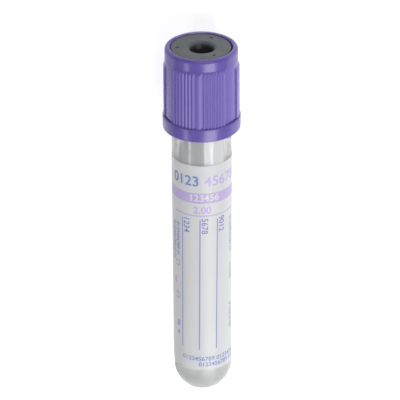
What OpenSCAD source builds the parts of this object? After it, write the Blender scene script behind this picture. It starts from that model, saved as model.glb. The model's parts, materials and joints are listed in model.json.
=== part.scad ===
// Capped vacuum blood collection tube, lying on its side as it comes to rest.
// Each piece is drawn upright round the Z axis, with the tube's round bottom at z = 0 and its front
// towards -Y. lie() then lays it down: the closure points to +X, the front of the label faces up, and
// the row's origin is on the ground under the middle of the object.

/* [Tube] */
// Outer diameter of the tube
tube_d = 12.7; // [12.3:0.1:12.9]
// Length of the tube, from its round bottom to its mouth
tube_length = 75; // [74:0.5:76]
// Thickness of the tube's wall
tube_wall = 0.9; // [0.7:0.05:1.1]

/* [Label] */
// Thickness of the paper with its glue
label_thickness = 0.09; // [0.05:0.01:0.15]
// Height of the label's lower edge above the round bottom
label_low = 7.8; // [7:0.2:20]
// Height of the label's upper edge above the round bottom
label_high = 58.9; // [40:0.5:64]
// Width of the clear window that the label leaves, in degrees round the tube
label_window = 48; // [20:1:80]
// How far the window's middle is turned from the back to the right, in degrees
label_turn = 45; // [-60:5:60]

/* [Cap] */
// Height of the cap's lower edge above the round bottom
cap_low = 65.4; // [64.5:0.1:66]
// Height of the cap
cap_height = 18.5; // [18.3:0.1:19.5]
// Outer diameter of the smooth collar at the top
collar_d = 15.3; // [15:0.1:15.4]
// Radius of the rounding on the cap's top edge
collar_round = 0.8; // [0.3:0.1:0.9]
// Outer diameter of the band round the cap's lower edge
band_d = 16.5; // [16:0.1:17]
// Height of the band
band_height = 3.1; // [2:0.1:4]
// Diameter of the round opening in the top
opening_d = 13; // [12.7:0.1:13]
// Outer diameter over the ribs and the side pads
grip_d = 15.86; // [15.7:0.02:15.98]
// Height of the ribs above the band
grip_height = 12.8; // [8:0.1:13]
// How much lower than the ribs the side pads end
pad_drop = 1; // [0:0.1:2]
// Angle between neighbouring ribs
rib_pitch = 5.55; // [5.2:0.05:5.7]
// Number of ribs on each side of the wide middle rib
ribs_a_side = 7; // [4:1:8]
// How far the cap is turned on the tube
cap_turn = -4.9; // [-15:0.05:15]
// Depth of the small flat on the back of the band, where the mould's gate is trimmed
gate_flat = 0.16; // [0.04:0.02:0.2]

/* [Stopper] */
// How far the stopper's top lies under the cap's top edge
stopper_recess = 0.3; // [0.1:0.1:0.8]
// Depth of the plug in the tube
plug_depth = 8.2; // [6:0.1:9]
// Diameter of the needle well
well_d = 5; // [4:0.1:5.6]
// Depth of the needle well, down to its round end
well_depth = 6.6; // [4.5:0.1:7.5]
// Diameter of the three dimples in the top
dimple_d = 0.6; // [0.3:0.1:0.8]

/* [Hidden] */
$fn = 96;
sliver = 0.01; // overlap that makes a clean cut or join

tube_r = tube_d / 2;
bore_r = tube_r - tube_wall;
lip_r = tube_wall / 2; // the mouth's edge is a half round

cap_top = cap_low + cap_height;
collar_r = collar_d / 2;
band_r = band_d / 2;
band_round = 0.3;
grip_r = grip_d / 2;
grip_low = cap_low + band_height;
grip_high = grip_low + grip_height;
grip_slope = 0.8; // length over which the ribs and pads run out at the top
skirt_gap = 0.45; // clearance between the skirt and the tube
skirt_r = tube_r + skirt_gap;
opening_r = opening_d / 2;
rim_round = 0.25; // rounding of the opening's edge

grip_root = skirt_r + 0.4; // how deep the ribs and pads reach into the skirt's wall
envelope_root = skirt_r + 0.2;
envelope_play = 0.05; // the envelope stands this far off the ribs below their slope
slope_sink = 0.1; // how far under the collar's surface the slope ends
rib_bead_r = 0.42; // radius of the half-round section of a rib
middle_rib_half = 5.6; // half width of the wide middle rib, in degrees
first_rib = 8.8; // angle from the middle rib's centre to the next rib's
pad_half = 19; // half width of a side pad, in degrees
relief_from = 52; // the slots over the band, in degrees from the middle of a rib field
relief_to = 76;
relief_height = 0.2;
relief_depth = 0.25;
relief_sink = 0.08; // how far a slot cuts into the band's top

// The gate flat, and the lowest point of its edge
flat_y = band_r - gate_flat;
flat_half = sqrt(band_r * band_r - flat_y * flat_y);
foot_z = cap_low + band_round - sqrt(pow(band_round, 2) - pow(band_round - gate_flat, 2));

stopper_top = cap_top - stopper_recess;
stopper_play = 0.25; // clearance of the stopper's head in the cap's opening
head_r = opening_r - stopper_play;
head_round = 0.25;
neck_r = 5.9; // the stopper's neck, which the cap's inner ledge holds
neck_low = tube_length + 3.3;
neck_high = neck_low + 1.2;
flange_r = 6.6;
flange_round = 0.2;
seat_gap = 0.03; // the flange stands this far off the tube's mouth
plug_play = 0.04; // radial clearance that stands for the rubber's squeeze
plug_r = bore_r - plug_play;
plug_low = tube_length - plug_depth;
plug_round = 0.7;
ledge_play = 0.05; // clearance between the cap's ledge and the stopper's neck
cup_r = 3.4; // the hollow under the plug
cup_depth = 6.2;
well_r = well_d / 2;
mouth_round = 0.9; // rounding round the well's mouth
dimple_ring_r = 5;
dimple_from = 63.5; // where the first dimple stands, in degrees
dimple_depth = 0.4;

// The gate flat's edge touches the ground, and so does the tube's round bottom or the label's lower
// edge, whichever comes down first.
label_r = tube_r + label_thickness;
label_reach = label_r * cos(max(0, label_window / 2 - abs(label_turn)));
touch_run = foot_z - tube_r;
lean_on_tube = atan2(flat_y, touch_run) - asin(tube_r / norm([touch_run, flat_y]));
lean_on_label = atan2(flat_y - label_reach, foot_z - label_low);
lean = min(lean_on_tube, lean_on_label);
lie_height = flat_y * cos(lean) - foot_z * sin(lean);
low_x = tube_r * cos(lean) - tube_r;
high_x = (cap_top - collar_round) * cos(lean) + (collar_r - collar_round) * sin(lean) + collar_round;

module lie() {
  translate([-(low_x + high_x) / 2, 0, lie_height])
    rotate([0, 90 - lean, 0])
      rotate([0, 0, -90])
        children();
}

// A rectangle of a section, from one radius and height to another
module ring(r1, z1, r2, z2) {
  translate([r1, z1]) square([r2 - r1, z2 - z1]);
}

// A section that fills from the axis out to r, with its outer corners rounded
module disc(r, z1, z2, round_low, round_high) {
  ring(0, z1 + round_low, r, z2 - round_high);
  if (round_low > 0) {
    ring(0, z1, r - round_low, z2 - round_high);
    translate([r - round_low, z1 + round_low]) circle(r = round_low);
  }
  if (round_high > 0) {
    ring(0, z1 + round_low, r - round_high, z2);
    translate([r - round_high, z2 - round_high]) circle(r = round_high);
  }
}

// The half of a section that lies outside the axis
module outside_axis() {
  intersection() {
    children();
    ring(0, -1, band_r + 5, cap_top + 5);
  }
}

module tube() {
  color([0.86, 0.90, 0.92, 0.45])
    lie() rotate_extrude()
      outside_axis() {
        difference() {
          union() {
            translate([0, tube_r]) circle(r = tube_r);
            ring(0, tube_r, tube_r, tube_length - lip_r);
          }
          translate([0, tube_r]) circle(r = bore_r);
          ring(-1, tube_r, bore_r, tube_length + 1);
        }
        translate([tube_r - lip_r, tube_length - lip_r]) circle(r = lip_r);
      }
}

module label() {
  color([0.94, 0.94, 0.96])
    lie() rotate([0, 0, 90 - label_turn + label_window / 2])
      rotate_extrude(angle = 360 - label_window)
        ring(tube_r, label_low, label_r, label_high);
}

module stopper_section() {
  difference() {
    union() {
      disc(head_r, neck_high - sliver, stopper_top, 0, head_round);
      ring(0, neck_low - sliver, neck_r, neck_high);
      disc(flange_r, tube_length + seat_gap, neck_low, flange_round, flange_round);
      disc(plug_r, plug_low, tube_length + 1, plug_round, 0);
    }
    // needle well
    ring(-1, stopper_top - well_depth + well_r, well_r, stopper_top + 1);
    translate([0, stopper_top - well_depth + well_r]) circle(r = well_r);
    ring(-1, stopper_top - mouth_round, well_r + mouth_round, stopper_top + 1);
    // hollow under the plug
    ring(-1, plug_low - 1, cup_r, plug_low + cup_depth - cup_r);
    translate([0, plug_low + cup_depth - cup_r]) circle(r = cup_r);
  }
  translate([well_r + mouth_round, stopper_top - mouth_round]) circle(r = mouth_round);
}

module stopper() {
  color([0.37, 0.37, 0.39])
    lie() difference() {
      rotate_extrude() outside_axis() stopper_section();
      for (side = [0 : 2])
        rotate([0, 0, dimple_from + 120 * side])
          translate([dimple_ring_r, 0, stopper_top - dimple_depth])
            cylinder(d = dimple_d, h = dimple_depth + 1);
    }
}

module cap_section() {
  difference() {
    union() {
      disc(collar_r, cap_low + 1, cap_top, 0, collar_round);
      disc(band_r, cap_low, grip_low, band_round, band_round);
    }
    ring(-1, cap_low - 1, skirt_r, neck_low);
    ring(-1, cap_low, neck_r + ledge_play, cap_top);
    ring(-1, neck_high, opening_r, cap_top + 1);
    ring(-1, cap_top - rim_round, opening_r + rim_round, cap_top + 1);
  }
  translate([opening_r + rim_round, cap_top - rim_round]) circle(r = rim_round);
}

// Plan of a wide raised strip of the grip, from one angle to another
module wide_strip(from, to) {
  reach = 2 * grip_r;
  intersection() {
    difference() {
      circle(r = grip_r);
      circle(r = grip_root);
    }
    polygon([[0, 0], for (a = [from, (from + to) / 2, to]) reach * [cos(a), sin(a)]]);
  }
}

// Plan of one field of ribs, round its middle at angle 0
module rib_field() {
  wide_strip(-middle_rib_half, middle_rib_half);
  for (side = [-1, 1], k = [0 : ribs_a_side - 1])
    rotate(side * (first_rib + k * rib_pitch))
      translate([grip_r - rib_bead_r, 0])
        circle(r = rib_bead_r);
}

// Raises a plan over the band and runs it out into the collar at this height
module raised(high) {
  slope_low = high - grip_slope;
  intersection() {
    translate([0, 0, grip_low - sliver]) linear_extrude(height = grip_height + 1) children();
    rotate_extrude()
      polygon([
        [envelope_root, grip_low - 1], [grip_r + 1, grip_low - 1], [grip_r + 1, slope_low],
        [grip_r + envelope_play, slope_low], [collar_r - slope_sink, high], [envelope_root, high]
      ]);
  }
}

module ribbed_shell() {
  difference() {
    union() {
      rotate_extrude() cap_section();
      for (turn = [0, 180]) rotate([0, 0, turn]) {
        raised(grip_high) rib_field();
        raised(grip_high - pad_drop) wide_strip(90 - pad_half, 90 + pad_half);
      }
    }
    for (turn = [0, 180], from = [relief_from, -relief_to])
      rotate([0, 0, turn + from])
        rotate_extrude(angle = relief_to - relief_from)
          ring(collar_r - relief_depth, grip_low - relief_sink, band_r + 1, grip_low + relief_height);
  }
}

module cap() {
  color([0.46, 0.40, 0.70])
    lie() difference() {
      rotate([0, 0, -90 + cap_turn]) ribbed_shell();
      translate([-2 * flat_half, flat_y, cap_low - 1]) cube([4 * flat_half, 1, band_height + 1.5]);
    }
}

tube();
label();
stopper();
cap();
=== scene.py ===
"""Capped blood collection tube: lathe-turned clear tube, wrapped paper label, rubber stopper, ribbed cap.

Every piece is modelled upright, with the tube's round bottom at the origin and its front towards -Y, and is
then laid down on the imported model. Sizes and colours stand in the property groups below.
"""

import json
import math

import bpy
from bpy.props import FloatProperty, FloatVectorProperty, IntProperty, PointerProperty
from mathutils import Matrix, Vector


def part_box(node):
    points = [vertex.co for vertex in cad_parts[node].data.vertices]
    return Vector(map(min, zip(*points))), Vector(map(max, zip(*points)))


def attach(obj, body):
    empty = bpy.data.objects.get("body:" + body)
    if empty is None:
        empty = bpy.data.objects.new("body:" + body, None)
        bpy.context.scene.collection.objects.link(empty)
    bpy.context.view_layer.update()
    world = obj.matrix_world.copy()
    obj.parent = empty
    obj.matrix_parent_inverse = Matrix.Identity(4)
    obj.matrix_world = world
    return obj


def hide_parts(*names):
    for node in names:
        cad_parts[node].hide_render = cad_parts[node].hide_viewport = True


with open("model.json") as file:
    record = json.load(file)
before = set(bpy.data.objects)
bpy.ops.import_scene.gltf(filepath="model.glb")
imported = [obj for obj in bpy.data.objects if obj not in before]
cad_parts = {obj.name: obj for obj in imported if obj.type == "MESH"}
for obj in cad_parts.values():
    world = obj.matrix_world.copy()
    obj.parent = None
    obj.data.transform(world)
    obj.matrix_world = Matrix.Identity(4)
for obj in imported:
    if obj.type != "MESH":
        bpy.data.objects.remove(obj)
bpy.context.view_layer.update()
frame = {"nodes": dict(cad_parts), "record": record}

bl_info = {
    "name": "Blood Collection Tube",
    "version": (1, 0, 0),
    "blender": (4, 5, 0),
    "location": "View3D > Sidebar > Blood Tube",
    "description": "Builds a capped blood collection tube with its label, stopper and studio",
    "category": "Object",
}

MM = 0.001


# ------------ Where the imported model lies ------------

AXIS = Vector(frame["record"]["behaviour"]["joints"][0]["axis"]).normalized()


def widest_radius(node):
    """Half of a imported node's width, which runs along Y."""
    low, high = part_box(node)
    return (high.y - low.y) / 2


TUBE_R = widest_radius("tube")
TUBE_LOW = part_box("tube")[0]
ROUND_CENTRE = Vector((TUBE_LOW.x + TUBE_R, 0, TUBE_LOW.z + TUBE_R))
FOOT = ROUND_CENTRE - AXIS * TUBE_R
BACKWARDS = Vector((AXIS.z, 0, -AXIS.x))
SIDEWAYS = BACKWARDS.cross(AXIS)
LIE = Matrix((SIDEWAYS, BACKWARDS, AXIS)).transposed().to_4x4()
LIE.translation = FOOT


def heights(node):
    """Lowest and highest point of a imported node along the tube's axis, measured from the round bottom."""
    along = [(vertex.co - FOOT).dot(AXIS) for vertex in frame["nodes"][node].data.vertices]
    return min(along), max(along)


LABEL_LOW, LABEL_HIGH = heights("label")
CAP_LOW, CAP_TOP = heights("cap")
PLUG_LOW, STOPPER_TOP = heights("stopper")
MOUTH = heights("tube")[1]


# ------------ Sizes and colours ------------

def length(name, description, default):
    return FloatProperty(name=name, description=description, default=default, unit="LENGTH")


def angle(name, description, degrees):
    return FloatProperty(name=name, description=description, default=math.radians(degrees), unit="ROTATION")


def share(name, description, default):
    return FloatProperty(name=name, description=description, default=default, min=0, max=1, subtype="FACTOR")


def number_of(name, description, default, **limits):
    return FloatProperty(name=name, description=description, default=default, **limits)


def lathe_steps(default):
    return IntProperty(name="Segments", description="Steps of the lathe round the piece", default=default,
                       min=24)


def colour(name, description, default):
    return FloatVectorProperty(name=name, description=description, default=default, size=3, min=0, max=1,
                               subtype="COLOR")


class TubeSettings(bpy.types.PropertyGroup):
    radius: length("Radius", "Outer radius of the tube", TUBE_R)
    wall: length("Wall", "Thickness of the tube's wall", 0.9 * MM)
    segments: lathe_steps(192)
    ior: number_of("Refraction", "Refractive index of the plastic", 1.49, min=1)
    roughness: share("Roughness", "Roughness of the clear plastic", 0.10)
    clearness: share("Clearness", "How much of the light goes straight through the plastic", 0.76)
    colour: colour("Colour", "Tint of the clear plastic", (0.98, 0.985, 0.985))
    # Painted shade: the foot's colour darkens the round bottom, and its tip more.
    foot_shade_colour: colour("Foot colour", "Tint of the thicker round bottom", (0.79, 0.80, 0.80))
    foot_haze: share("Foot haze", "How much rougher the round bottom is", 0.33)


class LabelSettings(bpy.types.PropertyGroup):
    radius: length("Radius", "Outer radius of the label on the tube", widest_radius("label"))
    thickness: length("Thickness", "Thickness of the paper", 0.08 * MM)
    window: angle("Window", "Width of the clear window that the label leaves", 48)
    window_turn: angle("Window turn", "How far the window's middle is turned from the back to the right", 45)
    corner: length("Corner", "Radius of the paper's corners", 1.2 * MM)
    skew: angle("Skew", "How far the print is turned on the tube", 0.5)
    paper: colour("Paper", "Colour of the coated paper", (0.66, 0.67, 0.69))
    lilac: colour("Lilac ink", "Colour of the band, the thin rule and some digits", (0.50, 0.40, 0.72))
    blue: colour("Blue ink", "Colour of the write-on lines, boxes and most digits", (0.17, 0.22, 0.56))


class StopperSettings(bpy.types.PropertyGroup):
    rubber: colour("Rubber", "Colour of the rubber", (0.116, 0.126, 0.136))
    roughness: share("Roughness", "Roughness of the rubber", 0.62)
    segments: lathe_steps(128)
    head_radius: length("Head radius", "Outer radius of the stopper's head in the cap's opening", 6.34 * MM)
    head_shift: length("Head shift", "How far the stopper's head sits to the left in the cap", 0.1 * MM)
    head_back: length("Head back", "How far the stopper's head sits to the back of the cap", 0.08 * MM)
    well_right: length("Well right", "How far the needle well lies to the right of the axis", 0.12 * MM)
    well_front: length("Well front", "How far the needle well lies in front of the axis", 0.10 * MM)
    dimple: length("Dimple", "Diameter of the three dimples in the top", 0.78 * MM)
    dimple_ring: length("Dimple ring", "Radius of the ring on which the dimples stand", 4.9 * MM)
    dimple_shift: length("Dimple shift", "How far the dimples' ring lies to the left of the axis", 0.10 * MM)


class CapSettings(bpy.types.PropertyGroup):
    plastic: colour("Plastic", "Colour of the cap", (0.125, 0.086, 0.365))
    roughness: share("Roughness", "Roughness of the moulded plastic", 0.25)
    grip_roughness: share("Grip roughness", "How much rougher the ribs are than the smooth walls", 0.15)
    turn: angle("Turn", "How far the cap is turned on the tube", -4.9)
    band_radius: length("Band radius", "Outer radius of the band round the lower edge", widest_radius("cap"))
    collar_radius: length("Collar radius", "Radius of the smooth wall", 7.65 * MM)
    grip_radius: length("Grip radius", "Radius over the ribs and the side pads", 7.94 * MM)
    rib_depth: length("Rib depth", "Depth of the grooves between the ribs", 0.22 * MM)
    taper: share("Taper", "How much wider the grip is at its foot than at its upper end", 0.015)
    band_height: length("Band height", "Height of the band", 3.0 * MM)
    grip_height: length("Grip height", "Height of the ribs above the band", 12.9 * MM)
    pad_drop: length("Pad drop", "How much lower than the ribs the side pads end", 1.0 * MM)
    slot_depth: length("Slot depth", "Depth of the four slots just above the band", 0.16 * MM)
    gate_flat: length("Gate flat", "Depth of the small flat on the back of the band", 0.16 * MM)


class StageSettings(bpy.types.PropertyGroup):
    floor: colour("Floor", "Colour of the floor", (0.50, 0.50, 0.50))
    glow: number_of("Floor glow", "Light that the floor gives off by itself", 0.75, min=0)
    left_glow: share("Left glow", "Share of the glow that the object gets from the floor on its left", 0.5)
    world: number_of("Room light", "Strength of the pale room round the object", 0.30, min=0)
    distance: length("Camera distance", "Distance of the camera from the tube", 470.5 * MM)
    view_height: angle("Camera height", "Angle of the view above the tube's own cross plane", 29.24)
    lens: number_of("Lens", "Focal length in mm on a 36 mm sensor", 196.99, min=1)


# ------------ Modelling helpers ------------

ORIGIN = (0, 0, 0)
UPRIGHT = (0, 0, 1)
CROSSWISE = (0, 1, 0)
# Vertices nearer than WELD are one, those within ON_ROW are in one row and those within SAME_ANGLE radians in
# one column. FINE is how near a cut may come to a vertex.
WELD = 0.5e-6
ON_ROW = 1e-6
SAME_ANGLE = 1e-4
FINE = 1e-7


def deselect():
    if bpy.context.object and bpy.context.object.mode != "OBJECT":
        bpy.ops.object.mode_set(mode="OBJECT")
    bpy.ops.object.select_all(action="DESELECT")


def pick(*objects):
    """Only these objects are selected, and the last one is active."""
    deselect()
    for piece in objects:
        piece.select_set(True)
    bpy.context.view_layer.objects.active = objects[-1]
    return objects[-1]


def edit(piece):
    pick(piece)
    bpy.ops.object.mode_set(mode="EDIT")
    bpy.ops.mesh.select_mode(type="VERT")
    bpy.ops.mesh.select_all(action="DESELECT")


def select_points(piece, wanted):
    """In edit mode, select the vertices for which wanted(co) holds. Returns how many there are."""
    bpy.ops.object.mode_set(mode="OBJECT")
    mesh = piece.data
    mesh.polygons.foreach_set("select", [False] * len(mesh.polygons))
    mesh.edges.foreach_set("select", [False] * len(mesh.edges))
    chosen = [wanted(vertex.co) for vertex in mesh.vertices]
    mesh.vertices.foreach_set("select", chosen)
    bpy.ops.object.mode_set(mode="EDIT")
    return sum(chosen)


def select_faces(piece, wanted):
    """In edit mode, select the faces for which wanted(centre) holds."""
    bpy.ops.object.mode_set(mode="OBJECT")
    mesh = piece.data
    mesh.vertices.foreach_set("select", [False] * len(mesh.vertices))
    mesh.edges.foreach_set("select", [False] * len(mesh.edges))
    mesh.polygons.foreach_set("select", [wanted(face.center) for face in mesh.polygons])
    bpy.ops.object.mode_set(mode="EDIT")
    bpy.ops.mesh.select_mode(type="FACE")


def scale_round_axis(factor):
    bpy.ops.transform.resize(value=(factor, factor, 1), center_override=ORIGIN)


class Outline:
    """A lathe outline in the XZ plane, drawn by extruding one vertex. Radii and heights are in metres."""

    def __init__(self, name, radius, height):
        deselect()
        bpy.ops.mesh.primitive_plane_add(size=MM)
        self.piece = bpy.context.object
        self.piece.name = self.piece.data.name = name
        bpy.ops.object.mode_set(mode="EDIT")
        bpy.ops.mesh.select_all(action="SELECT")
        bpy.ops.mesh.merge(type="CENTER")
        bpy.ops.transform.translate(value=(radius, 0, height))
        self.at = Vector((radius, height))

    def line(self, radius, height):
        step = Vector((radius, height)) - self.at
        bpy.ops.mesh.extrude_region_move(TRANSFORM_OT_translate={"value": (step.x, 0, step.y)})
        self.at = Vector((radius, height))

    def arc(self, radius, height, degrees, steps):
        """Turns about a centre, by positive degrees as a clock's hand does."""
        turn = math.radians(degrees)
        bpy.ops.mesh.spin(steps=steps, angle=-turn, center=(radius, 0, height), axis=CROSSWISE)
        arm = self.at - Vector((radius, height))
        self.at = Vector((radius + arm.x * math.cos(turn) + arm.y * math.sin(turn),
                          height - arm.x * math.sin(turn) + arm.y * math.cos(turn)))

    def turn(self, steps):
        """Spins the whole outline round the axis and closes its seam and poles."""
        spin_all(2 * math.pi, steps)
        return weld(self.piece)


def spin_all(radians, steps):
    """Spins all vertices about the upright axis by a positive angle from X to Y."""
    bpy.ops.mesh.select_all(action="SELECT")
    bpy.ops.mesh.spin(steps=steps, angle=-radians, center=ORIGIN, axis=UPRIGHT)


def weld(piece):
    """Merges doubles and turns the faces outwards, in edit mode, then leaves it."""
    bpy.ops.mesh.select_all(action="SELECT")
    bpy.ops.mesh.remove_doubles(threshold=WELD)
    bpy.ops.mesh.normals_make_consistent(inside=False)
    bpy.ops.object.mode_set(mode="OBJECT")
    return piece


def apply_modifier(piece, kind, **values):
    pick(piece)
    modifier = piece.modifiers.new(kind.title(), kind)
    for name, value in values.items():
        setattr(modifier, name, value)
    bpy.ops.object.modifier_apply(modifier=modifier.name)


def apply_place():
    bpy.ops.object.transform_apply(location=True, rotation=True, scale=True)


# Edges that bend by more than this stay sharp
SHARP = math.radians(35)


def finish_piece(piece, body, node, material):
    """Smooths a piece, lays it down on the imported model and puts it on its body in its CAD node's place."""
    pick(piece)
    bpy.ops.object.shade_smooth_by_angle(angle=SHARP)
    piece.matrix_world = LIE
    apply_place()
    piece.data.materials.clear()
    piece.data.materials.append(material)
    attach(piece, body)
    if node:
        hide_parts(node)
    deselect()


# ------------ Node helpers and shared effects ------------

class Nodes:
    """Short names for adding and wiring nodes in one tree."""

    def __init__(self, tree, keep=False):
        self.tree = tree
        if not keep:
            self.tree.nodes.clear()

    def add(self, kind, inputs=None, **settings):
        node = self.tree.nodes.new(kind)
        for name, value in settings.items():
            setattr(node, name, value)
        for name, value in (inputs or {}).items():
            self.put(node.inputs[name], value)
        return node

    def put(self, socket, value):
        if isinstance(value, bpy.types.NodeSocket):
            self.tree.links.new(value, socket)
        else:
            socket.default_value = value

    def math(self, operation, *values, clamp=False):
        node = self.add("ShaderNodeMath", operation=operation, use_clamp=clamp)
        for socket, value in zip(node.inputs, values):
            self.put(socket, value)
        return node.outputs[0]

    def times(self, first, second):
        return self.math("MULTIPLY", first, second)

    def most(self, *values):
        """The largest of the values."""
        total = values[0]
        for value in values[1:]:
            total = self.math("MAXIMUM", total, value)
        return total

    def split(self, vector):
        """The X, Y and Z of a vector."""
        return self.add("ShaderNodeSeparateXYZ", {"Vector": vector}).outputs

    def mix(self, factor, first, second):
        node = self.add("ShaderNodeMix", data_type="RGBA")
        colours = [socket for socket in node.inputs if socket.type == "RGBA"]
        self.put(node.inputs[0], factor)
        self.put(colours[0], first)
        self.put(colours[1], second)
        return [socket for socket in node.outputs if socket.type == "RGBA"][0]

    def ramp(self, value, low, high, to_low=0.0, to_high=1.0, smooth_step=False):
        node = self.add("ShaderNodeMapRange", {"Value": value, "From Min": low, "From Max": high,
                                               "To Min": to_low, "To Max": to_high})
        node.interpolation_type = "SMOOTHSTEP" if smooth_step else "LINEAR"
        return node.outputs["Result"]

    def noise(self, vector, scale, detail=3.0, roughness=0.5):
        node = self.add("ShaderNodeTexNoise", {"Vector": vector, "Scale": scale, "Detail": detail,
                                               "Roughness": roughness})
        return node.outputs["Fac"]

    def group(self, name, **inputs):
        node = self.tree.nodes.new("ShaderNodeGroup")
        node.node_tree = bpy.data.node_groups[name]
        for label, value in inputs.items():
            self.put(node.inputs[label.replace("_", " ")], value)
        return node


def opaque(rgb, factor=1.0, lift=0.0):
    """The colour made darker or lighter by a factor and paler by a lift, with full alpha."""
    return [min(1.0, channel * factor + lift) for channel in rgb] + [1.0]


def new_group(name, inputs, outputs):
    """A shader node group. inputs gives (name, socket type, default), outputs gives (name, socket type)."""
    tree = bpy.data.node_groups.new(name, "ShaderNodeTree")
    nodes = Nodes(tree)
    for label, kind, default in inputs:
        socket = tree.interface.new_socket(name=label, in_out="INPUT", socket_type=kind)
        if default is not None:
            socket.default_value = default
    for label, kind in outputs:
        tree.interface.new_socket(name=label, in_out="OUTPUT", socket_type=kind)
    return nodes, nodes.add("NodeGroupInput").outputs, nodes.add("NodeGroupOutput").inputs


VALUE, VECTOR = "NodeSocketFloat", "NodeSocketVector"


def build_grain_group():
    """Fine moulded or cast grain: one height for the bump and one value that varies the roughness."""
    nodes, given, out = new_group(
        "Surface grain",
        [("Position", VECTOR, None), ("Grain scale", VALUE, 4000.0), ("Cloud scale", VALUE, 250.0),
         ("Roughness low", VALUE, 0.3), ("Roughness high", VALUE, 0.5)],
        [("Height", VALUE), ("Roughness", VALUE)])
    grain = nodes.noise(given["Position"], given["Grain scale"], 4.0, 0.6)
    cloud = nodes.noise(given["Position"], given["Cloud scale"], 3.0, 0.55)
    blend = nodes.math("ADD", nodes.times(grain, 0.45), nodes.times(cloud, 0.55))
    nodes.put(out["Height"], grain)
    low, high = given["Roughness low"], given["Roughness high"]
    span = nodes.math("SUBTRACT", high, low)
    nodes.put(out["Roughness"], nodes.math("ADD", low, nodes.times(nodes.ramp(blend, 0.3, 0.7), span)))


# Each way that the fine scratches run: its tilt, and how noise is stretched along it
SCRATCHES = ((0.5, (1.0, 26.0, 9.0)), (1.9, (22.0, 1.0, 12.0)), (2.7, (14.0, 11.0, 1.0)))


def build_scuff_group():
    """Sparse fine scratches that run in three directions, as a mask."""
    nodes, given, out = new_group(
        "Fine scuffs", [("Position", VECTOR, None), ("Scale", VALUE, 300.0), ("Amount", VALUE, 0.5)],
        [("Mask", VALUE)])
    streaks = []
    for tilt, stretch in SCRATCHES:
        spread = nodes.add("ShaderNodeMapping", {"Vector": given["Position"], "Scale": stretch,
                                                 "Rotation": (tilt, tilt * 0.7, tilt * 1.3)})
        streaks.append(nodes.ramp(nodes.noise(spread.outputs[0], given["Scale"], 2.0, 0.4), 0.66, 0.74))
    patches = nodes.ramp(nodes.noise(given["Position"], 180.0, 2.0), 0.45, 0.62)
    nodes.put(out["Mask"], nodes.times(nodes.times(nodes.most(*streaks), patches), given["Amount"]))


def build_bar_group():
    """A printed bar on the label: 1 inside a rectangle given by its centre and half sizes, 0 outside."""
    nodes, given, out = new_group(
        "Printed bar",
        [("Across", VALUE, 0.0), ("Height", VALUE, 0.0), ("Centre across", VALUE, 0.0),
         ("Centre height", VALUE, 0.0), ("Half width", VALUE, 1.0), ("Half height", VALUE, 1.0),
         ("Softness", VALUE, 0.05)],
        [("Mask", VALUE)])
    parts = []
    for at, centre, half in (("Across", "Centre across", "Half width"),
                             ("Height", "Centre height", "Half height")):
        away = nodes.math("ABSOLUTE", nodes.math("SUBTRACT", given[at], given[centre]))
        inside = nodes.math("SUBTRACT", given[half], away)
        parts.append(nodes.math("ADD", nodes.math("DIVIDE", inside, given["Softness"]), 0.5, clamp=True))
    nodes.put(out["Mask"], nodes.times(*parts))


def new_material(name):
    """A material with its tree cleared, and its shader and output in place."""
    material = bpy.data.materials.new(name)
    material.use_nodes = True
    nodes = Nodes(material.node_tree)
    shader = nodes.add("ShaderNodeBsdfPrincipled")
    output = nodes.add("ShaderNodeOutputMaterial")
    nodes.put(output.inputs["Surface"], shader.outputs["BSDF"])
    return material, nodes, shader.inputs


def bump(nodes, height, strength, distance):
    inputs = {"Height": height, "Strength": strength, "Distance": distance}
    return nodes.add("ShaderNodeBump", inputs).outputs["Normal"]


def object_position(nodes):
    return nodes.add("ShaderNodeTexCoord").outputs["Object"]


def height_in_mm(nodes, position):
    """How high a point lies along the tube's axis above its round bottom."""
    from_foot = nodes.add("ShaderNodeVectorMath", {0: position, 1: FOOT}, operation="SUBTRACT").outputs[0]
    along = nodes.add("ShaderNodeVectorMath", {0: from_foot, 1: AXIS}, operation="DOT_PRODUCT")
    return nodes.math("DIVIDE", along.outputs["Value"], MM)


# ------------ Materials ------------

# Heights above the round bottom, in mm, between which the round bottom and its tip take on their painted
# shade
FOOT_FADE = (10.5, 5.5)
TIP_FADE = (2.4, 0.4)


def clear_plastic(settings):
    """Clear injection-moulded plastic with a faint flow bump, hazy handling marks and painted shade at its
    foot.
    """
    material, nodes, shader = new_material("Clear plastic")
    position = object_position(nodes)
    scuffs = nodes.group("Fine scuffs", Position=position, Scale=260.0, Amount=0.6).outputs["Mask"]
    haze = nodes.ramp(nodes.noise(position, 220.0), 0.35, 0.75, settings.roughness, settings.roughness * 1.5)
    flow = nodes.noise(position, 90.0, 2.0)
    height = height_in_mm(nodes, position)
    # Painted shade: the base colour darkens over the round bottom, and further at its tip.
    foot = nodes.ramp(height, *FOOT_FADE, smooth_step=True)
    tip = nodes.ramp(height, *TIP_FADE, smooth_step=True)
    foot_shade_colour = nodes.mix(tip, opaque(settings.foot_shade_colour), opaque(settings.foot_shade_colour, 0.8))
    nodes.put(shader["Base Color"], nodes.mix(foot, opaque(settings.colour), foot_shade_colour))
    rough = nodes.math("ADD", haze, nodes.times(scuffs, 0.12))
    nodes.put(shader["Roughness"], nodes.math("ADD", rough, nodes.times(foot, settings.foot_haze)))
    shader["IOR"].default_value = settings.ior
    shader["Transmission Weight"].default_value = settings.clearness
    nodes.put(shader["Normal"], bump(nodes, flow, 0.03, 0.0004))
    return material


# Printed bars on the label, in mm: across and height of the middle, half width and half height
LILAC_BARS = ((0, 51.15, 30, 1.22), (0.6, 46.9, 7.7, 0.15), (-7.3, 29.4, 0.4, 0.75))
WRITE_ON_LINES = ((-4.95, 29.5, 0.11, 16.4), (-0.85, 29.5, 0.11, 16.4), (3.0, 29.5, 0.11, 16.4))
EMPTY_BOXES = ((-6.4, 34.0, 0.65, 0.7), (-6.3, 25.8, 0.6, 0.8))
FILLED_BOXES = ((-6.2, 18.6, 0.45, 0.75), (-6.2, 16.3, 0.35, 0.5))
BOX_LINE = 0.2
EDGE_BLUR = 0.06


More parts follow.
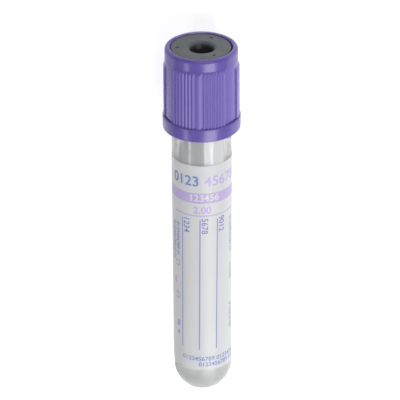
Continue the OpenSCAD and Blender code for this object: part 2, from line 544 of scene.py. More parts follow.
def label_paper(settings):
    """Coated paper with its print: a lilac band, rule and box, three blue write-on lines and paler boxes."""
    material, nodes, shader = new_material("Label paper")
    uv = nodes.add("ShaderNodeUVMap", uv_map="Label")
    turned = nodes.add("ShaderNodeVectorRotate", {"Vector": uv.outputs["UV"], "Angle": settings.skew},
                       rotation_type="Z_AXIS")
    place = nodes.split(turned.outputs["Vector"])

    def bar(x, y, half_x, half_y):
        return nodes.group("Printed bar", Across=place["X"], Height=place["Y"], Centre_across=x,
                           Centre_height=y, Half_width=half_x, Half_height=half_y,
                           Softness=EDGE_BLUR).outputs["Mask"]

    def empty_box(x, y, half_x, half_y):
        """A box drawn with a thin line."""
        inner = bar(x, y, half_x - BOX_LINE, half_y - BOX_LINE)
        return nodes.math("SUBTRACT", bar(x, y, half_x, half_y), inner)

    lilac = nodes.most(*[bar(*sizes) for sizes in LILAC_BARS])
    lines = nodes.most(*[bar(*sizes) for sizes in WRITE_ON_LINES])
    filled = [bar(*sizes) for sizes in FILLED_BOXES]
    boxes = nodes.most(*[empty_box(*sizes) for sizes in EMPTY_BOXES], *filled)
    blue = nodes.most(lines, nodes.times(boxes, 0.7))
    ink_depth = nodes.ramp(nodes.noise(uv.outputs["UV"], 3.0, 4.0, 0.7), 0.3, 0.7, 0.86, 1.0)
    fibre = nodes.noise(uv.outputs["UV"], 9.0, 4.0, 0.65)
    printed = nodes.mix(nodes.ramp(fibre, 0.3, 0.7), opaque(settings.paper), opaque(settings.paper, 0.97))
    printed = nodes.mix(nodes.times(lilac, ink_depth), printed, opaque(settings.lilac))
    printed = nodes.mix(nodes.times(blue, ink_depth), printed, opaque(settings.blue))
    nodes.put(shader["Base Color"], printed)
    nodes.put(shader["Roughness"], nodes.ramp(fibre, 0.3, 0.7, 0.42, 0.5))
    shader["Subsurface Weight"].default_value = 1.0
    shader["Subsurface Radius"].default_value = (1.0, 1.0, 1.0)
    shader["Subsurface Scale"].default_value = 0.25 * MM
    nodes.put(shader["Normal"], bump(nodes, fibre, 0.12, 0.00002))
    return material


def ink(name, rgb):
    """Printing ink, a little uneven in depth, with the paper's satin."""
    material, nodes, shader = new_material(name)
    position = object_position(nodes)
    depth = nodes.ramp(nodes.noise(position, 3000.0, 4.0, 0.7), 0.3, 0.7)
    nodes.put(shader["Base Color"], nodes.mix(depth, opaque(rgb), opaque(rgb, 0.9, 0.07)))
    nodes.put(shader["Roughness"], nodes.ramp(depth, 0.0, 1.0, 0.4, 0.48))
    return material


# The painted highlight on the well's far wall, measured from the middle of its mouth along the axis outwards,
# to the left and to the front, and the distances from its middle at which it begins and is full
WELL_HIGHLIGHT_SPOT = (-1.05 * MM, 0.65 * MM, -2.35 * MM)
HIGHLIGHT_FADE = (0.9 * MM, 0.1 * MM)
# The painted shade inside the well: depths in mm over which it darkens, and how far from the well's axis it
# ends
WELL_DEPTHS = (-0.05, 1.5)
WELL_EDGE = (3.5 * MM, 3.2 * MM)
DUST = (0.42, 0.42, 0.43)
WELL_PAINTED_SHADE = (0.02, 0.02, 0.021)
PAINTED_HIGHLIGHT = (0.19, 0.21, 0.24)


def stopper_rubber(settings):
    """Matt moulded rubber, fine grain and pale dust, with painted shade and a painted highlight in its needle
    well.
    """
    material, nodes, shader = new_material("Stopper rubber")
    position = object_position(nodes)
    grain = nodes.group("Surface grain", Position=position, Grain_scale=5200.0, Cloud_scale=420.0,
                        Roughness_low=settings.roughness - 0.08, Roughness_high=settings.roughness + 0.1)
    specks = nodes.ramp(nodes.noise(position, 7000.0, 2.0), 0.68, 0.76)
    patchy = nodes.ramp(nodes.noise(position, 300.0, 4.0), 0.35, 0.7)
    base = nodes.mix(patchy, opaque(settings.rubber, 0.92), opaque(settings.rubber, 1.06))
    base = nodes.mix(nodes.times(specks, 0.22), base, opaque(DUST))
    top_middle = LIE @ Vector((settings.well_right, -settings.well_front, STOPPER_TOP))
    off_axis = nodes.add("ShaderNodeVectorMath", {0: position, 1: top_middle}, operation="SUBTRACT")
    upright = nodes.add("ShaderNodeVectorRotate", {"Vector": off_axis.outputs[0], "Angle": math.asin(AXIS.z)},
                        rotation_type="Y_AXIS")
    local = nodes.split(upright.outputs[0])
    depth = nodes.times(local["X"], -1 / MM)
    away = nodes.math("SQRT", nodes.math("ADD", nodes.math("POWER", local["Y"], 2.0),
                                         nodes.math("POWER", local["Z"], 2.0)))
    # Painted shade: the base colour darkens towards black inside the needle well.
    painted_well_shade = nodes.times(nodes.ramp(depth, *WELL_DEPTHS, smooth_step=True), nodes.ramp(away, *WELL_EDGE))
    base = nodes.mix(nodes.times(painted_well_shade, 0.85), base, opaque(WELL_PAINTED_SHADE))
    # Painted highlight: a paler, bluish spot on the far wall of the needle well.
    from_highlight = nodes.add("ShaderNodeVectorMath", {0: upright.outputs[0], 1: WELL_HIGHLIGHT_SPOT},
                           operation="DISTANCE")
    patch = nodes.ramp(from_highlight.outputs["Value"], *HIGHLIGHT_FADE, smooth_step=True)
    base = nodes.mix(nodes.times(patch, 0.8), base, opaque(PAINTED_HIGHLIGHT))
    nodes.put(shader["Base Color"], base)
    nodes.put(shader["Roughness"], grain.outputs["Roughness"])
    shader["Specular IOR Level"].default_value = 0.4
    nodes.put(shader["Normal"], bump(nodes, grain.outputs["Height"], 0.35, 0.00003))
    return material


# The rim is polished on its back, which is the lower side as it lies: how far under its top the polish starts
# and is full, in mm, and at which heights above the floor, under that of its axis
RIM_FROM, RIM_FULL = 0.9, 0.3
AXIS_HEIGHT = (LIE @ Vector((0, 0, CAP_TOP))).z
BACK_FROM, BACK_FULL = AXIS_HEIGHT - 3 * MM, AXIS_HEIGHT - 6 * MM
# Distances to the side between which the ribs become as smooth as the walls
BESIDE = (6.6 * MM, 6.1 * MM)


def purple_plastic(settings):
    """Satin plastic with a faint grain and pale scuffs, rougher ribs and a polished back of the rim."""
    material, nodes, shader = new_material("Purple plastic")
    position = object_position(nodes)
    grain = nodes.group("Surface grain", Position=position, Grain_scale=9000.0, Cloud_scale=300.0,
                        Roughness_low=settings.roughness - 0.05, Roughness_high=settings.roughness + 0.08)
    scuffs = nodes.group("Fine scuffs", Position=position, Scale=420.0, Amount=0.35).outputs["Mask"]
    cloud = nodes.ramp(nodes.noise(position, 160.0), 0.35, 0.65)
    base = nodes.mix(cloud, opaque(settings.plastic, 0.97), opaque(settings.plastic, 1.04))
    height = height_in_mm(nodes, position)
    grip_low = (CAP_LOW + settings.band_height) / MM
    grip_high = grip_low + settings.grip_height / MM
    on_grip = nodes.times(nodes.ramp(height, grip_low - 0.1, grip_low + 0.2),
                          nodes.ramp(height, grip_high + 0.1, grip_high - 0.6))
    place = nodes.split(position)
    facing_up_or_down = nodes.ramp(nodes.math("ABSOLUTE", place["Y"]), *BESIDE)
    # The grip's paler base colour is partly the matt texture's own tone and partly a painted highlight for
    # its spread sheen.
    base = nodes.mix(on_grip, base, opaque(settings.plastic, 1.15, 0.01))
    nodes.put(shader["Base Color"], nodes.mix(scuffs, base, opaque(settings.plastic, 1.25, 0.03)))
    rougher = nodes.times(nodes.times(on_grip, facing_up_or_down), settings.grip_roughness)
    nodes.put(shader["Roughness"], nodes.math("ADD", grain.outputs["Roughness"], rougher))
    on_rim = nodes.ramp(height, CAP_TOP / MM - RIM_FROM, CAP_TOP / MM - RIM_FULL)
    on_back = nodes.ramp(place["Z"], BACK_FROM, BACK_FULL, smooth_step=True)
    nodes.put(shader["Coat Weight"], nodes.times(on_rim, on_back))
    shader["Coat Roughness"].default_value = 0.15
    shader["Coat IOR"].default_value = 1.9
    shader["Subsurface Weight"].default_value = 0.08
    shader["Subsurface Radius"].default_value = (0.6, 0.45, 1.0)
    shader["Subsurface Scale"].default_value = 0.4 * MM
    nodes.put(shader["Normal"], bump(nodes, grain.outputs["Height"], 0.12, 0.00001))
    return material


# ------------ Pieces ------------

class BLOODTUBE_OT_effects(bpy.types.Operator):
    """Build the node groups that the materials share"""
    bl_idname = "blood_tube.effects"
    bl_label = "Shared effects"

    def execute(self, context):
        build_grain_group()
        build_scuff_group()
        build_bar_group()
        return {"FINISHED"}


BOTTOM_STEPS = 36
LIP_STEPS = 14


class BLOODTUBE_OT_tube(bpy.types.Operator):
    """Turn the clear tube: a round bottom, a straight wall and a half-round lip"""
    bl_idname = "blood_tube.tube"
    bl_label = "Clear tube"

    def execute(self, context):
        settings = context.scene.blood_tube
        outer = settings.radius
        bore = outer - settings.wall
        lip = settings.wall / 2
        outline = Outline("clear_tube", 0, 0)
        outline.arc(0, outer, -90, BOTTOM_STEPS)
        outline.line(outer, MOUTH - lip)
        outline.arc(outer - lip, MOUTH - lip, -180, LIP_STEPS)
        outline.line(bore, outer)
        outline.arc(0, outer, 90, BOTTOM_STEPS)
        piece = outline.turn(settings.segments)
        finish_piece(piece, "tube", "tube", clear_plastic(settings))
        return {"FINISHED"}


class BLOODTUBE_OT_label(bpy.types.Operator):
    """Wrap the paper label round the tube, with rounded corners and its own UV map in millimetres"""
    bl_idname = "blood_tube.label"
    bl_label = "Paper label"

    def execute(self, context):
        settings = context.scene.blood_label
        piece = wrapped_sheet("paper_label", settings)
        map_label(piece, settings)
        apply_modifier(piece, "SOLIDIFY", thickness=settings.thickness, offset=-1)
        finish_piece(piece, "tube", "label", label_paper(settings))
        return {"FINISHED"}


class BLOODTUBE_OT_numbers(bpy.types.Operator):
    """Print plain numbers on the label as thin wrapped ink"""
    bl_idname = "blood_tube.numbers"
    bl_label = "Printed numbers"

    def execute(self, context):
        settings = context.scene.blood_label
        inks = {"lilac": settings.lilac, "blue": settings.blue, "white": settings.paper}
        for ink_name, rgb in inks.items():
            lines = [number(*line[1:]) for line in PRINT if line[0] == ink_name]
            piece = pick(*lines)
            bpy.ops.object.join()
            piece.name = piece.data.name = ink_name + "_numbers"
            wrap(piece, settings)
            finish_piece(piece, "tube", None, ink(ink_name.title() + " ink", rgb))
        return {"FINISHED"}


# Ink, digits, letter size, across and height of the middle in mm, whether they read down the tube, boldness
PRINT = (
    ("blue", "0123", 3.3, -4.35, 55.1, False, 0.02),
    ("lilac", "45678", 3.3, 4.1, 55.1, False, 0.01),
    ("white", "123456", 2.25, 0.0, 51.15, False, 0.02),
    ("lilac", "2.00", 2.3, -0.4, 48.2, False, 0.025),
    ("blue", "1234", 1.95, -3.95, 44.4, True, 0.012),
    ("blue", "5678", 1.95, 0.1, 44.4, True, 0.012),
    ("blue", "9012", 1.95, 4.0, 44.4, True, 0.012),
    ("blue", "0123456789 01", 1.35, -6.4, 39.9, True, 0.02),
    ("blue", "0123456789 0123", 1.3, -7.8, 39.2, True, 0.02),
    ("blue", "0123456789 01", 1.45, 7.3, 40.4, True, 0.015),
    ("blue", "012345", 1.3, 7.3, 31.2, True, 0.015),
    ("blue", "0123456789", 1.3, 7.3, 20.0, True, 0.015),
    ("blue", "0123456789 0123456", 1.5, 1.7, 10.6, False, 0.012),
    ("blue", "0123456789 012", 1.45, 3.9, 9.15, False, 0.012),
)
# How far the ink stands proud of the paper, and how wide the strips are, in mm, that let a number bend
INK = 0.012 * MM
STRIP = 0.25


def number(text, size, across, height, turned, bold):
    """A flat number of this size in mm, centred at a place on the label in mm, and cut into narrow strips."""
    deselect()
    bpy.ops.object.text_add()
    piece = bpy.context.object
    piece.data.body = text
    piece.data.size = size
    piece.data.offset = bold * size
    piece.data.align_x, piece.data.align_y = "CENTER", "CENTER"
    if turned:
        piece.rotation_euler.z = -math.pi / 2
    bpy.ops.object.convert(target="MESH")
    piece = bpy.context.object
    piece.location = (across, height, 0)
    apply_place()
    edit(piece)
    places = [vertex.co.x for vertex in piece.data.vertices]
    for k in range(math.ceil(min(places) / STRIP), math.floor(max(places) / STRIP) + 1):
        bpy.ops.mesh.select_all(action="SELECT")
        bpy.ops.mesh.bisect(plane_co=(k * STRIP, 0, 0), plane_no=(1, 0, 0))
    bpy.ops.object.mode_set(mode="OBJECT")
    return piece


def wrap(piece, settings):
    """Turns the print by the label's skew and lays it round the tube, just proud of the paper."""
    radius = settings.radius + INK
    lean = Matrix.Rotation(-settings.skew, 3, "Z")
    for vertex in piece.data.vertices:
        flat = lean @ vertex.co
        bearing = flat.x * MM / settings.radius - math.pi / 2
        vertex.co = (radius * math.cos(bearing), radius * math.sin(bearing), flat.y * MM)


SHEET_COLUMN = math.radians(2)


def wrapped_sheet(name, settings):
    """A sheet round the tube, with the window at the back and rounded corners."""
    outline = Outline(name, settings.radius, LABEL_LOW)
    outline.line(settings.radius, LABEL_HIGH)
    span = 2 * math.pi - settings.window
    steps = round(span / SHEET_COLUMN)
    spin_all(span, steps)
    middle = -math.pi / 2 - settings.window_turn
    turn_all(middle - span / 2)
    weld(outline.piece)
    edit(outline.piece)
    step = span / steps
    for k in range(int(settings.corner / (step * settings.radius)) + 1):
        inside = settings.corner - k * step * settings.radius
        drop = settings.corner - math.sqrt(max(settings.corner ** 2 - inside ** 2, 0))
        for end in (1, -1):
            column = middle + end * (span / 2 - k * step)
            for edge, towards in ((LABEL_LOW, 1), (LABEL_HIGH, -1)):
                if select_points(outline.piece, lambda co: on_row(co, edge) and same_angle(co, column)):
                    bpy.ops.transform.translate(value=(0, 0, towards * drop))
    bpy.ops.object.mode_set(mode="OBJECT")
    return outline.piece


def turn_all(radians):
    """Turns all vertices about the upright axis by a positive angle from X to Y."""
    bpy.ops.mesh.select_all(action="SELECT")
    bpy.ops.transform.rotate(value=-radians, orient_axis="Z", center_override=ORIGIN)


def on_row(co, height):
    return abs(co.z - height) < ON_ROW


def same_angle(co, wanted):
    return abs(math.remainder(math.atan2(co.y, co.x) - wanted, 2 * math.pi)) < SAME_ANGLE


def map_label(piece, settings):
    """UV in millimetres: across from the front's middle, to the right, and up from the round bottom."""
    mesh = piece.data
    layer = mesh.uv_layers.new(name="Label")
    for loop in mesh.loops:
        co = mesh.vertices[loop.vertex_index].co
        bearing = math.atan2(co.x, -co.y)
        if bearing > math.pi - settings.window_turn:
            bearing -= 2 * math.pi
        layer.data[loop.index].uv = (bearing * settings.radius / MM, co.z / MM)


# Sizes of the stopper, from its top to its hollow underside, and the steps of its arcs
WELL, WELL_DEPTH, WELL_MOUTH = 2.5 * MM, 6.6 * MM, 0.9 * MM
HEAD_ROUND = 0.25 * MM
NECK, NECK_LOW, NECK_HIGH = 5.9 * MM, MOUTH + 3.3 * MM, MOUTH + 4.5 * MM
FLANGE, FLANGE_ROUND, FLANGE_LOW = 6.6 * MM, 0.2 * MM, MOUTH + 0.03 * MM
PLUG, PLUG_ROUND = 5.41 * MM, 0.7 * MM
HOLLOW, HOLLOW_DEPTH = 3.4 * MM, 6.2 * MM
BOWL_STEPS, MOUTH_STEPS, PLUG_STEPS, HEAD_STEPS, FLANGE_STEPS = 16, 10, 8, 6, 5
DIMPLE_BEARINGS = (63.5, 183.5, 303.5)
DIMPLE_FLATNESS = 0.8


class BLOODTUBE_OT_stopper(bpy.types.Operator):
    """Turn the rubber stopper with its needle well, neck, flange, plug and three dimples"""
    bl_idname = "blood_tube.stopper"
    bl_label = "Rubber stopper"

    def execute(self, context):
        settings = context.scene.blood_stopper
        head = settings.head_radius
        well_bottom = STOPPER_TOP - WELL_DEPTH
        hollow_top = PLUG_LOW + HOLLOW_DEPTH
        outline = Outline("rubber_stopper", 0, well_bottom)
        outline.arc(0, well_bottom + WELL, -90, BOWL_STEPS)
        outline.line(WELL, STOPPER_TOP - WELL_MOUTH)
        outline.arc(WELL + WELL_MOUTH, STOPPER_TOP - WELL_MOUTH, 90, MOUTH_STEPS)
        outline.line(head - HEAD_ROUND, STOPPER_TOP)
        outline.arc(head - HEAD_ROUND, STOPPER_TOP - HEAD_ROUND, 90, HEAD_STEPS)
        outline.line(head, NECK_HIGH)
        outline.line(NECK, NECK_HIGH)
        outline.line(NECK, NECK_LOW)
        outline.line(FLANGE - FLANGE_ROUND, NECK_LOW)
        outline.arc(FLANGE - FLANGE_ROUND, NECK_LOW - FLANGE_ROUND, 90, FLANGE_STEPS)
        outline.line(FLANGE, FLANGE_LOW + FLANGE_ROUND)
        outline.arc(FLANGE - FLANGE_ROUND, FLANGE_LOW + FLANGE_ROUND, 90, FLANGE_STEPS)
        outline.line(PLUG, FLANGE_LOW)
        outline.line(PLUG, PLUG_LOW + PLUG_ROUND)
        outline.arc(PLUG - PLUG_ROUND, PLUG_LOW + PLUG_ROUND, 90, PLUG_STEPS)
        outline.line(HOLLOW, PLUG_LOW)
        outline.line(HOLLOW, hollow_top - HOLLOW)
        outline.arc(0, hollow_top - HOLLOW, -90, BOWL_STEPS)
        piece = outline.turn(settings.segments)
        edit(piece)
        well_reach = WELL + WELL_MOUTH + WELD
        select_points(piece, lambda co: co.z > NECK_HIGH - WELD and co.xy.length > well_reach)
        bpy.ops.transform.translate(value=(-settings.head_shift, settings.head_back, 0))
        select_points(piece, lambda co: co.z > well_bottom - WELD and co.xy.length < well_reach)
        bpy.ops.transform.translate(value=(settings.well_right, -settings.well_front, 0))
        for bearing in DIMPLE_BEARINGS:
            sink_dimple(piece, math.radians(bearing), settings)
        finish_piece(piece, "closure", "stopper", stopper_rubber(settings))
        return {"FINISHED"}


def sink_dimple(piece, bearing, settings):
    """Cuts one round-bottomed dimple into the stopper's top."""
    deselect()
    ring = settings.dimple_ring
    place = (ring * math.cos(bearing) - settings.dimple_shift, ring * math.sin(bearing), STOPPER_TOP)
    bpy.ops.mesh.primitive_uv_sphere_add(segments=24, ring_count=12, radius=settings.dimple / 2,
                                         location=place)
    cutter = bpy.context.object
    cutter.scale.z = DIMPLE_FLATNESS
    apply_place()
    apply_modifier(piece, "BOOLEAN", object=cutter, operation="DIFFERENCE", solver="EXACT")
    bpy.data.objects.remove(cutter)


class BLOODTUBE_OT_cap(bpy.types.Operator):
    """Model a quarter of the cap, with its ribs and half a side pad, and mirror it twice"""
    bl_idname = "blood_tube.cap"
    bl_label = "Ribbed cap"

    def execute(self, context):
        settings = context.scene.blood_cap
        piece = cap_quarter(settings)
        apply_modifier(piece, "MIRROR", use_axis=(True, True, False), merge_threshold=WELD)
        edit(piece)
        turn_all(-math.pi / 2 + settings.turn)
        bpy.ops.mesh.select_all(action="SELECT")
        bpy.ops.mesh.bisect(plane_co=(0, settings.band_radius - settings.gate_flat, 0), plane_no=(0, 1, 0),
                            clear_outer=True, use_fill=True, threshold=FINE)
        weld(piece)
        finish_piece(piece, "closure", "cap", purple_plastic(settings))
        return {"FINISHED"}


# The cap's quarter, in degrees from the middle rib's crest: the middle rib's groove, the pitch of the ribs
# beside it and their number, where the side pad and its foot begin, and where the slot begins and ends
FIRST_GROOVE = 6.025
RIB_PITCH = 5.55
RIBS = 7
PAD_FROM, PAD_FOOT = 71, 70.7
SLOT_FROM, SLOT_TO = 52, 76
# Columns on half a rib, as shares of its half width, and on the pad's flank, as degrees and share of its rise
RIB_SHARES = (0.2, 0.4, 0.6, 0.8, 1.0)
MIDDLE_SHARES = (0, 0.2, 0.4, 0.55, 0.68, 0.8, 0.9, 1.0)
PAD_FLANK = ((-0.15, 0.25), (0, 0.6), (0.2, 0.88), (0.6, 1))
FLANK_START, FLANK_END = PAD_FROM - 0.4, PAD_FROM + 0.6
SAME_DEGREES = 1e-3
# Roundings of the cap from its foot to its rim, its inner radii, and how far the rim's top lies under CAP_TOP
FOOT_ROUND, LOW_ROUND, HIGH_ROUND = 0.15 * MM, 0.3 * MM, 0.25 * MM
TOP_ROUND, RIM_ROUND = 0.75 * MM, 0.38 * MM
SKIRT, OPENING, LEDGE = 6.8 * MM, 6.5 * MM, 5.95 * MM
RIM_DROP = 0.05 * MM
# Rows of the grip: the slots' height, the straight ribs' next row, the slope at the ribs' upper ends and the
# steps in it, and the rows that hold the wall's shading flat above it
SLOT_HEIGHT = 0.2 * MM
STRAIGHT_ROW = 3 * MM
RUN_OUT = 0.8 * MM
RUN_OUT_STEPS = 6
HOLD = 0.12 * MM
ON_WALL = 0.02 * MM


class CapHeights:
    """Heights that the cap's outline, ribs and slots share, in metres above the tube's round bottom."""

    def __init__(self, settings):
        self.band_top = CAP_LOW + settings.band_height
        self.slot_high = self.band_top + SLOT_HEIGHT
        self.straight = [self.band_top, self.slot_high, self.slot_high + STRAIGHT_ROW]
        self.grip_top = self.band_top + settings.grip_height
        self.pad_top = self.grip_top - settings.pad_drop
        self.run_out = [top - RUN_OUT + RUN_OUT * k / RUN_OUT_STEPS
                        for top in (self.pad_top, self.grip_top) for k in range(RUN_OUT_STEPS + 1)]


def wave(share_of_half, top, depth):
    """Radius of a rounded rib at a share of the way from its crest to the groove beside it."""
    return top - depth * (1 - math.cos(math.pi * share_of_half)) / 2


def evenly(start, end, steps, radius):
    """Columns of one radius, at even steps from after the start up to the end."""
    return [(start + (end - start) * k / steps, radius) for k in range(1, steps + 1)]


def cap_columns(settings):
    """Each column's angle and the grip's radius there, from the middle rib to the side pad's middle."""
    grip, collar, depth = settings.grip_radius, settings.collar_radius, settings.rib_depth
    half = RIB_PITCH / 2
    columns = [(f * FIRST_GROOVE, wave(f ** 1.5, grip, depth)) for f in MIDDLE_SHARES]
    for k in range(RIBS):
        crest = FIRST_GROOVE + half + k * RIB_PITCH
        columns += [(crest - f * half, wave(f, grip, depth)) for f in reversed(RIB_SHARES[:-1])]
        columns += [(crest, grip)]
        outer_depth = grip - collar if k == RIBS - 1 else depth
        columns += [(crest + f * half, wave(f, grip, outer_depth)) for f in RIB_SHARES]
    columns += evenly(crest + half, SLOT_FROM, 4, collar)
    columns += evenly(SLOT_FROM, FLANK_START, 9, collar)
    columns += [(PAD_FROM + degrees, collar + rise * (grip - collar)) for degrees, rise in PAD_FLANK]
    columns += evenly(FLANK_END, SLOT_TO, 3, grip)
    return columns + evenly(SLOT_TO, 90, 8, grip)


def cap_outline(settings, at):
    """The cap's section with a plain wall: up the outside, over the rim and down the inside."""
    band, collar = settings.band_radius, settings.collar_radius
    rim_top = CAP_TOP - RIM_DROP
    outline = Outline("ribbed_cap", SKIRT + FOOT_ROUND, CAP_LOW)
    outline.line(band - LOW_ROUND, CAP_LOW)
    outline.arc(band - LOW_ROUND, CAP_LOW + LOW_ROUND, -90, 6)
    outline.line(band, at.band_top - HIGH_ROUND)
    outline.arc(band - HIGH_ROUND, at.band_top - HIGH_ROUND, -90, 4)
    for row in at.straight + at.run_out:
        outline.line(collar, row)
    outline.line(collar, at.grip_top + HOLD)
    outline.line(collar, rim_top - TOP_ROUND - HOLD)
    outline.line(collar, rim_top - TOP_ROUND)
    outline.arc(collar - TOP_ROUND, rim_top - TOP_ROUND, -90, 10)
    outline.line(OPENING + RIM_ROUND, rim_top)
    outline.arc(OPENING + RIM_ROUND, rim_top - RIM_ROUND, -90, 6)
    outline.line(OPENING, NECK_HIGH)
    outline.line(LEDGE, NECK_HIGH)
    outline.line(LEDGE, NECK_LOW)
    outline.line(SKIRT, NECK_LOW)
    outline.line(SKIRT, CAP_LOW + FOOT_ROUND)
    outline.line(SKIRT + FOOT_ROUND, CAP_LOW)
    return outline


def cap_quarter(settings):
    """A quarter of the cap, from the middle rib's crest to the side pad's middle."""
    at = CapHeights(settings)
    columns = cap_columns(settings)
    outline = cap_outline(settings, at)
    bpy.ops.mesh.select_all(action="SELECT")
    for (here, _), (there, _) in zip(columns, columns[1:]):
        bpy.ops.mesh.spin(steps=1, angle=-math.radians(there - here), center=ORIGIN, axis=UPRIGHT)
    piece = weld(outline.piece)
    edit(piece)
    raise_grip(piece, columns, [*at.straight, at.run_out[0]], at, settings)
    for row in at.run_out[1:]:
        raise_grip(piece, columns, [row], at, settings)
    inside_band = settings.band_radius - HIGH_ROUND
    for row in at.straight + at.run_out:
        if select_points(piece, lambda co: on_row(co, row)
                         and settings.collar_radius - WELD < co.xy.length < inside_band):
            scale_round_axis(1 + settings.taper * (at.grip_top - row) / settings.grip_height)
    sink_slots(piece, at, settings)
    return piece


def raise_grip(piece, columns, rows, at, settings):
    """Moves the wall out to the ribs and the pad in these rows, of which the last gives the radius."""
    collar = settings.collar_radius
    targets = {}
    for degrees, wanted in columns:
        top = at.pad_top if degrees > PAD_FOOT else at.grip_top
        target = round(min(wanted, run_out_radius(rows[-1], top, settings)), 8)
        targets.setdefault(target, []).append(degrees)
    for target, angles in targets.items():
        if abs(target - collar) < WELD:
            continue

        def on_grip(co):
            if abs(co.xy.length - collar) > ON_WALL or not any(on_row(co, row) for row in rows):
                return False
            here = math.degrees(math.atan2(co.y, co.x))
            return any(abs(here - column) < SAME_DEGREES for column in angles)

        if select_points(piece, on_grip):
            scale_round_axis(target / collar)


def run_out_radius(height, top, settings):
    """The envelope that slopes the ribs and pads down into the collar near their upper ends."""
    share_left = min(max((top - height) / RUN_OUT, 0), 1)
    return settings.collar_radius + (settings.grip_radius - settings.collar_radius) * share_left


def sink_slots(piece, at, settings):
    """Pushes the wall in above the band, between the ribs and the side pad."""
    def in_slot(centre):
        bearing = math.degrees(math.atan2(centre.y, centre.x))
        outside = centre.xy.length > settings.collar_radius - 0.1 * MM
        up = (centre.z - at.band_top) / SLOT_HEIGHT
        return SLOT_FROM < bearing < SLOT_TO and outside and 0.1 < up < 0.9

    select_faces(piece, in_slot)
    bpy.ops.mesh.extrude_region_move()
    scale_round_axis(1 - settings.slot_depth / settings.collar_radius)
    bpy.ops.object.mode_set(mode="OBJECT")


# ------------ Stage ------------

# Name, swing round the tube from its front to the right in degrees, distance, width and length in metres,
# radiance. At no swing a light stands where the tube's front mirrors the camera.
LIGHTS = (
    ("key_softbox", 26, 0.60, 0.36, 0.50, 5.5),
    ("left_strip", -47, 0.60, 0.09, 0.40, 5.0),
)
TUBE_MIDDLE = 45 * MM
END_PANEL = ("end_panel", 0.5, 0.4, 1.6)
END_PANEL_PLACE = (0.55, -0.1, 0.35)
FLOOR_SIZE = 3.0
# On the object's left the floor glows less, from one to the other of these places along Y. It keeps its glow
# near X = CLEAR_PART, under the clear part, out to the first of these distances, and loses it by the second.
DIM_SIDE = (0.0, 0.02)
CLEAR_PART = 0.017
DIM_BESIDE = (0.005, 0.012)
# The upright tube's point that the camera looks at, and how far the camera is rolled
LOOK_AT = Vector((-0.44 * MM, 0, 47.26 * MM))
ROLL = math.radians(-0.304)


def area_light(name, across, along, radiance):
    """A soft rectangular light that doesn't show itself to the camera."""
    light = bpy.data.lights.new(name, "AREA")
    light.shape = "RECTANGLE"
    light.size, light.size_y = across, along
    light.energy = radiance * math.pi * across * along
    lamp = bpy.data.objects.new(name, light)
    bpy.context.collection.objects.link(lamp)
    lamp.visible_camera = False
    return lamp


def swung_light(settings, name, degrees, distance, *panel):
    """A light that is swung round the tube's axis and turned to the tube's middle."""
    swing, drop = math.radians(degrees), settings.view_height
    outward = Vector((math.sin(swing) * math.cos(drop), -math.cos(swing) * math.cos(drop), -math.sin(drop)))
    towards_light = LIE.to_3x3() @ outward
    sideways = (LIE.to_3x3() @ Vector((math.cos(swing), math.sin(swing), 0))).normalized()
    turn = Matrix((sideways, towards_light.cross(sideways), towards_light)).transposed()
    place = LIE @ Vector((0, 0, TUBE_MIDDLE)) + towards_light * distance
    area_light(name, *panel).matrix_world = Matrix.Translation(place) @ turn.to_4x4()


def end_light():
    """A broad soft light over the closure's end, for the cap's rim and the stopper."""
    lamp = area_light(*END_PANEL)
    lamp.location = END_PANEL_PLACE
    aim = LIE @ Vector((0, 0, CAP_TOP)) - lamp.location
    lamp.rotation_euler = aim.to_track_quat("-Z", "Y").to_euler()


def pale_floor(settings):
    """A matt floor that glows a little, and less towards the object on its left."""
    material, nodes, shader = new_material("Pale floor")
    position = object_position(nodes)
    cloud = nodes.ramp(nodes.noise(position, 6.0), 0.3, 0.7)
    nodes.put(shader["Base Color"], nodes.mix(cloud, opaque(settings.floor), opaque(settings.floor, 0.99)))
    shader["Roughness"].default_value = 0.7
    shader["Emission Color"].default_value = (1, 1, 1, 1)
    place = nodes.split(position)
    on_left = nodes.ramp(place["Y"], *DIM_SIDE, smooth_step=True)
    from_clear_part = nodes.math("ABSOLUTE", nodes.math("SUBTRACT", place["X"], CLEAR_PART))
    dimmed = nodes.times(on_left, nodes.ramp(from_clear_part, *DIM_BESIDE, smooth_step=True))
    dimmer = nodes.math("MULTIPLY_ADD", dimmed, settings.glow * (settings.left_glow - 1), settings.glow)
    seen = nodes.add("ShaderNodeLightPath").outputs["Is Camera Ray"]
    unseen = nodes.times(dimmer, nodes.math("SUBTRACT", 1.0, seen))
    nodes.put(shader["Emission Strength"], nodes.math("ADD", unseen, nodes.times(settings.glow, seen)))
    return material


def light_room(scene, settings):
    """A dim pale room, which the camera itself sees as white."""
    scene.world = bpy.data.worlds.new("Studio")
    scene.world.use_nodes = True
    room = Nodes(scene.world.node_tree, keep=True)
    background = scene.world.node_tree.nodes["Background"].inputs
    room.put(background["Color"], (1, 1, 1, 1))
    seen = room.add("ShaderNodeLightPath").outputs["Is Camera Ray"]
    room.put(background["Strength"], room.ramp(seen, 0.0, 1.0, settings.world, 1.0))


def place_camera(scene, settings):
    """A camera in front of the tube, raised above its cross plane and slightly rolled."""
    lens = bpy.data.cameras.new("camera")
    lens.lens = settings.lens
    lens.sensor_width = 36
    lens.clip_start, lens.clip_end = 0.01, 10
    scene.camera = bpy.data.objects.new("camera", lens)
    bpy.context.collection.objects.link(scene.camera)
    rise = settings.view_height
    out = Vector((0, -math.cos(rise), math.sin(rise)))
    up = Vector((0, math.sin(rise), math.cos(rise)))
    view = Matrix(((1, 0, 0), up, out)).transposed().to_4x4()
    view.translation = LOOK_AT + out * settings.distance
    scene.camera.matrix_world = LIE @ view @ Matrix.Rotation(ROLL, 4, "Z")


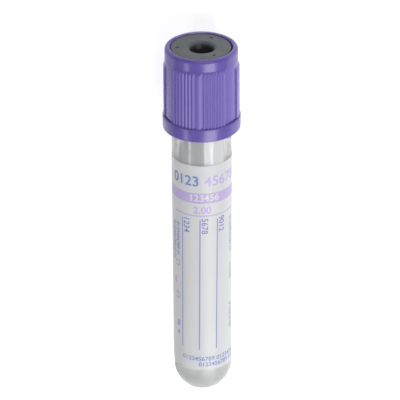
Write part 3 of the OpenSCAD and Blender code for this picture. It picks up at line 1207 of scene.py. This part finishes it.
class BLOODTUBE_OT_stage(bpy.types.Operator):
    """Set up the pale floor, the soft lights and the camera"""
    bl_idname = "blood_tube.stage"
    bl_label = "Studio"

    def execute(self, context):
        settings = context.scene.blood_stage
        deselect()
        bpy.ops.mesh.primitive_plane_add(size=FLOOR_SIZE)
        floor = context.object
        floor.name = floor.data.name = "floor"
        floor.data.materials.append(pale_floor(settings))
        light_room(context.scene, settings)
        for light in LIGHTS:
            swung_light(settings, *light)
        end_light()
        place_camera(context.scene, settings)
        context.scene.view_settings.view_transform = "Standard"
        return {"FINISHED"}


# ------------ Add-on ------------

OPERATORS = (BLOODTUBE_OT_effects, BLOODTUBE_OT_tube, BLOODTUBE_OT_label, BLOODTUBE_OT_numbers,
             BLOODTUBE_OT_stopper, BLOODTUBE_OT_cap, BLOODTUBE_OT_stage)
SETTINGS = {
    "blood_tube": TubeSettings,
    "blood_label": LabelSettings,
    "blood_stopper": StopperSettings,
    "blood_cap": CapSettings,
    "blood_stage": StageSettings,
}


class BLOODTUBE_PT_panel(bpy.types.Panel):
    """Lists the pieces' operators and their settings"""
    bl_label = "Blood Collection Tube"
    bl_idname = "BLOODTUBE_PT_panel"
    bl_space_type = "VIEW_3D"
    bl_region_type = "UI"
    bl_category = "Blood Tube"

    def draw(self, context):
        layout = self.layout
        for operator in OPERATORS:
            layout.operator(operator.bl_idname)
        for name, group in SETTINGS.items():
            box = layout.box()
            box.label(text=name.replace("_", " ").title())
            for field in group.__annotations__:
                box.prop(getattr(context.scene, name), field)


def register():
    for group in SETTINGS.values():
        bpy.utils.register_class(group)
    for name, group in SETTINGS.items():
        setattr(bpy.types.Scene, name, PointerProperty(type=group))
    for operator in OPERATORS:
        bpy.utils.register_class(operator)
    bpy.utils.register_class(BLOODTUBE_PT_panel)


def unregister():
    bpy.utils.unregister_class(BLOODTUBE_PT_panel)
    for operator in reversed(OPERATORS):
        bpy.utils.unregister_class(operator)
    for name in SETTINGS:
        delattr(bpy.types.Scene, name)
    for group in reversed(list(SETTINGS.values())):
        bpy.utils.unregister_class(group)


def main():
    register()
    bpy.ops.blood_tube.effects()
    bpy.ops.blood_tube.tube()
    bpy.ops.blood_tube.label()
    bpy.ops.blood_tube.numbers()
    bpy.ops.blood_tube.stopper()
    bpy.ops.blood_tube.cap()
    bpy.ops.blood_tube.stage()


if __name__ == "__main__":
    main()
